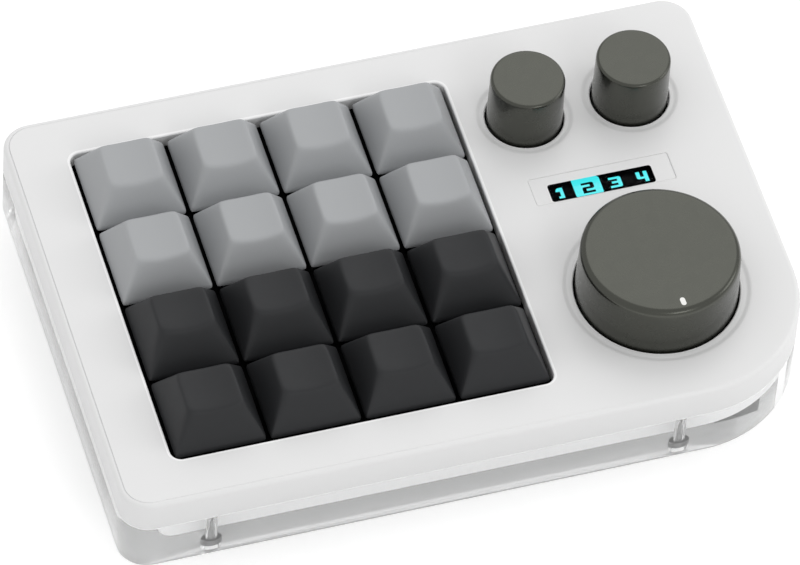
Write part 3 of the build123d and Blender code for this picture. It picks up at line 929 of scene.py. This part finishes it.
def knob_surface(centre, bottom_radius, top_radius, bottom, top, rim, bore_top):
    """Turned knob: bore, flat foot, side that leans in a little, rounded rim and flat face."""
    side = np.linspace(0, 1, 10)
    side_start = bottom + knob_foot
    side_height = side_start + (top - rim - side_start) * side
    side_radius = bottom_radius + (top_radius - bottom_radius) * side
    edge = quarter_round((top_radius, top - rim), (top_radius - rim, top), 7)
    profile = [
        (0, bore_top),
        (bore_radius, bore_top),
        (bore_radius, bottom),
        (bottom_radius - foot_chamfer, bottom),
        (bottom_radius, bottom + foot_chamfer),
        *zip(side_radius, side_height),
        *edge[1:],
        (top_radius - rim - face_margin, top),
        (0, top),
    ]
    return turned(centre, profile)


shaft_top = node_box("large_shaft")[1][2]
# Radius at the foot, radius at the face and round of the rim
knob_shapes = {"left": (7.6, 7.43, 0.65), "right": (7.6, 7.43, 0.65), "large": (16.05, 15.75, 1.3)}
for side, (foot_radius, face_radius, rim) in knob_shapes.items():
    low, high = knob_boxes[side]
    make_piece(
        f"knob_{side}",
        knob_surface(knob_places[side], foot_radius, face_radius, low[2], high[2], rim, shaft_top),
        [knob_metals[side]],
        f"{side}_dial",
        [knob_nodes[side]],
    )


def pill_surface(centre, angle, length, width, low, high, rim):
    """Bar with round ends: an outline of two half circles, lifted, with its upper edge drawn in."""
    turn = np.linspace(-pi / 2, pi / 2, 13)
    radius = width / 2

    def outline(inset):
        along = length / 2 - radius + (radius - inset) * np.cos(turn)
        across = (radius - inset) * np.sin(turn)
        right = np.column_stack([along, across])
        plan = np.vstack([right, -right])
        return plan @ np.array([[cos(angle), sin(angle)], [-sin(angle), cos(angle)]]) + centre

    sides = wall([ring(outline(0), low), ring(outline(0), high - rim), ring(outline(rim), high)])
    return join(sides, level(low, outline(0)), level(high, outline(rim)))


pointer_low, pointer_high = node_box("knob_pointer")
pointer_angle = radians(-88.4)
pointer_length, pointer_width, pointer_rim, pointer_proud = 2.0, 1.1, 0.06, 0.02
make_piece(
    "pointer_mark",
    pill_surface(
        node_middle("knob_pointer"),
        pointer_angle,
        pointer_length,
        pointer_width,
        pointer_low[2] + pointer_proud,
        pointer_high[2] + pointer_proud,
        pointer_rim,
    ),
    [pointer_white],
    "large_dial",
    ["knob_pointer"],
)


# Outline of each digit in a box one unit wide and high: how far right its points are, then how far up
digit_outlines = {
    "1": (
        [0.25, 0.72, 0.72, 0.3, 0.12, 0.12, 0.44, 0.44, 0.25],
        [0, 0, 1, 1, 0.8, 0.66, 0.66, 0.2, 0.2],
    ),
    "2": (
        [0, 1, 1, 0.32, 0.32, 0.88, 1, 1, 0.88, 0, 0, 0.68, 0.68, 0.12, 0],
        [0, 0, 0.2, 0.2, 0.4, 0.4, 0.5, 0.9, 1, 1, 0.8, 0.8, 0.6, 0.6, 0.5],
    ),
    "3": (
        [0, 0.88, 1, 1, 0.88, 0, 0, 0.68, 0.68, 0.2, 0.2, 0.68, 0.68, 0],
        [0, 0, 0.1, 0.9, 1, 1, 0.8, 0.8, 0.6, 0.6, 0.4, 0.4, 0.2, 0.2],
    ),
    "4": (
        [0.6, 0.92, 0.92, 0.6, 0.6, 0.32, 0.32, 0, 0, 0.12, 0.6],
        [0, 0, 1, 1, 0.5, 0.5, 1, 1, 0.4, 0.3, 0.3],
    ),
}
digit_size = np.array([2.5, 2.6])
cell_width = 5.65
cell_margin = 0.05
cell_corners = [0.3, 0.3, 0.9, 0.3]
digits_middle = screen_middle + [0.08, -0.4]
film = 0.015


def digit_plan(digit, place):
    """Outline of a digit centred on its cell of the screen."""
    outline = np.column_stack(digit_outlines[digit])
    return (outline - 0.5) * digit_size + digits_middle + [cell_width * (place - 1.5), 0]


def film_surface(outer, holes=()):
    """A thin film on the glass: two levels and the walls between them."""
    low, high = glass_top + film, glass_top + 2 * film
    edges = [wall([ring(loop, low), ring(loop, high)]) for loop in (outer, *holes)]
    return join(level(low, outer, holes), level(high, outer, holes), *edges)


softened("display_glass", "display_panel", 0.15, [display_black], "case")
for place, digit in enumerate("1234"):
    plan = digit_plan(digit, place)
    if digit == "2":
        middle = screen_middle + [cell_width * (place - 1.5), 0]
        half = np.array([cell_width / 2, screen_half[1] - cell_margin])
        cell = rounded_plan(middle - half, middle + half, cell_corners)
        surface = film_surface(cell, [plan])
    else:
        surface = film_surface(plan)
    make_piece(f"lit_digit_{digit}", surface, [display_cyan], "case")


# Case screws
head_radius = 2.12
head_height = 1.6
head_chamfer = 0.2
neck_chamfer = (0.05, 0.1)
head_steps = 36
hexagon_radius = 0.95
hexagon_depth = 0.9
shank_radius = 0.84
tip_radius = 0.8
tip_height = 0.4
thread_pitch = 0.5
thread_height = 0.1
thread_rings = 150


def screw_surface(centre):
    """Case screw: head with a hexagon socket below and threaded shank above, turned about its axis.

    The thread adds a triangle wave of the height less one pitch a turn, which fades out at both ends.
    """
    low, high = node_box("case_screws")
    head_low, head_high = low[2], low[2] + head_height
    top, tip_low = high[2], high[2] - tip_height
    neck = head_radius - neck_chamfer[0]
    sole = head_radius - head_chamfer
    head = [
        (sole, head_low),
        (head_radius, head_low + head_chamfer),
        (head_radius, head_high - neck_chamfer[1]),
        (neck, head_high),
    ]
    hexagon = circle_plan(centre, hexagon_radius, 6)
    hexagon_top = head_low + hexagon_depth
    foot = level(head_low, circle_plan(centre, sole, head_steps), [hexagon])
    socket = wall([ring(hexagon, head_low), ring(hexagon, hexagon_top)])
    socket_end = level(hexagon_top, hexagon)
    shank = circle_plan(centre, shank_radius, head_steps)
    shoulder = level(head_high, circle_plan(centre, neck, head_steps), [shank])
    heights = np.linspace(head_high, tip_low, thread_rings)
    turn = np.arange(head_steps) * 2 * pi / head_steps
    phase = heights[:, None] / thread_pitch - turn[None, :] / (2 * pi)
    fade = np.minimum(heights - head_high, tip_low - heights) / thread_pitch
    ridge = np.clip(fade, 0, 1)[:, None] * (1 - np.abs(2 * (phase % 1) - 1))
    radius = shank_radius + thread_height * ridge
    height = np.broadcast_to(heights[:, None], radius.shape)
    rings = [centre[0] + radius * np.cos(turn), centre[1] + radius * np.sin(turn), height]
    thread = wall(list(np.stack(rings, axis=-1)))
    tip = turned(centre, [(shank_radius, tip_low), (tip_radius, top), (0, top)], head_steps)
    return join(turned(centre, head, head_steps), foot, socket, socket_end, shoulder, thread, tip)


screws = join(*(screw_surface(place) for place in screw_places))
make_piece("screws", screws, [steel], "case", ["case_screws"])
softened("feet", "rubber_feet", 0.35, [foot_rubber], "case")


# Nodes that are shown as they are
carried = {
    "switch_plate": plate_dark,
    "main_board": circuit_board,
    "display_board": circuit_board,
    "controller_chip": chip_black,
    "usb_socket": steel,
    "display_header": header_plastic,
    "switch_bottom_housings": switch_plastic,
    "switch_top_housings": switch_plastic,
    "encoder_housings": encoder_plastic,
}
for side in knob_nodes:
    carried[f"{side}_push_plate"] = shaft_metal
    carried[f"{side}_shaft"] = shaft_metal
for name in nodes:
    if name.startswith("stem_"):
        carried[name] = stem_plastic
for name, finish in carried.items():
    node = nodes[name]
    if not node.material_slots:
        node.data.materials.append(finish)
    for holder in node.material_slots:
        holder.material = finish


def make_floor():
    """A wide pale floor that keeps the object's shadow, is lifted to white and is clear from below."""
    reach = 6.0
    drop = -0.05 * MM
    lift_to_white = 0.42
    mesh = bpy.data.meshes.new("floor")
    corners = [(-reach, -reach, drop), (reach, -reach, drop), (reach, reach, drop), (-reach, reach, drop)]
    mesh.from_pydata(corners, [], [(0, 1, 2, 3)])
    floor = bpy.data.objects.new("floor", mesh)
    bpy.context.scene.collection.objects.link(floor)
    finish, tree, shader, place = open_finish("floor_paper")
    skin = placed_group(tree, moulded_skin, {"Vector": place, "Grain": 2000.0})
    paper = mixed(tree, skin.outputs["Shade"], (0.86, 0.86, 0.86, 1), (0.85, 0.85, 0.85, 1))
    tree.links.new(paper, shader.inputs["Base Color"])
    shader.inputs["Roughness"].default_value = 0.9
    shader.inputs["Specular IOR Level"].default_value = 0.0
    shader.inputs["Emission Color"].default_value = (1, 1, 1, 1)
    light = place_node(tree, "ShaderNodeLightPath")
    seen = larger(tree, light.outputs["Is Camera Ray"], light.outputs["Is Glossy Ray"])
    seen = larger(tree, seen, light.outputs["Is Transmission Ray"])
    lift = place_node(tree, "ShaderNodeMath", {0: seen, 1: lift_to_white}, operation="MULTIPLY")
    tree.links.new(lift.outputs["Value"], shader.inputs["Emission Strength"])
    below = tree.nodes.new("ShaderNodeNewGeometry").outputs["Backfacing"]
    above = place_node(tree, "ShaderNodeMath", {0: 1.0, 1: below}, operation="SUBTRACT")
    tree.links.new(above.outputs["Value"], shader.inputs["Alpha"])
    mesh.materials.append(finish)


def make_world():
    """Even white surroundings: a plain level as light, full white where seen, also through glass."""
    world = bpy.data.worlds.new("studio")
    bpy.context.scene.world = world
    world.use_nodes = True
    tree = world.node_tree
    tree.nodes.clear()
    output = tree.nodes.new("ShaderNodeOutputWorld")
    light = place_node(tree, "ShaderNodeLightPath")
    seen = larger(tree, light.outputs["Is Camera Ray"], light.outputs["Is Transmission Ray"])
    strength = scaled(tree, seen, 0.8, 1.0)
    background = place_node(tree, "ShaderNodeBackground", {"Color": (1, 1, 1, 1), "Strength": strength})
    tree.links.new(background.outputs["Background"], output.inputs["Surface"])


def add_lamp(name, place, size, power):
    """Square soft lamp at a place, turned to the object."""
    aim = (0, 0, 0.015)
    lamp = bpy.data.lights.new(name, "AREA")
    lamp.shape = "SQUARE"
    lamp.size = size
    lamp.energy = power
    holder = bpy.data.objects.new(name, lamp)
    holder.location = place
    holder.rotation_euler = (Vector(aim) - Vector(place)).to_track_quat("-Z", "Y").to_euler()
    bpy.context.scene.collection.objects.link(holder)


def make_camera():
    """Long lens at the photograph's angle: looks along forward, rolled about it, from a fixed distance."""
    forward = Vector((0.21227, 0.57694, -0.78872)).normalized()
    target = Vector((-4.65, -7.46, 19.67)) * MM
    distance = 1.5973
    roll = radians(4.67)
    side = forward.cross(Vector((0, 0, 1))).normalized()
    up = side.cross(forward)
    right = side * cos(roll) + up * sin(roll)
    above = up * cos(roll) - side * sin(roll)
    camera = bpy.data.cameras.new("camera")
    camera.lens = 368.49
    camera.sensor_width = 36.0
    holder = bpy.data.objects.new("camera", camera)
    rotation = Matrix((right, above, -forward)).transposed()
    holder.matrix_world = Matrix.Translation(target - forward * distance) @ rotation.to_4x4()
    bpy.context.scene.collection.objects.link(holder)
    bpy.context.scene.camera = holder


make_floor()
make_world()
add_lamp("back", (0.5, 0.85, 1.0), 0.9, 2.5)
add_lamp("front", (0.25, -0.9, 0.75), 0.36, 1.1)
add_lamp("right", (1.05, -0.1, 0.62), 0.45, 1.3)
make_camera()
bpy.context.scene.view_settings.view_transform = "Standard"
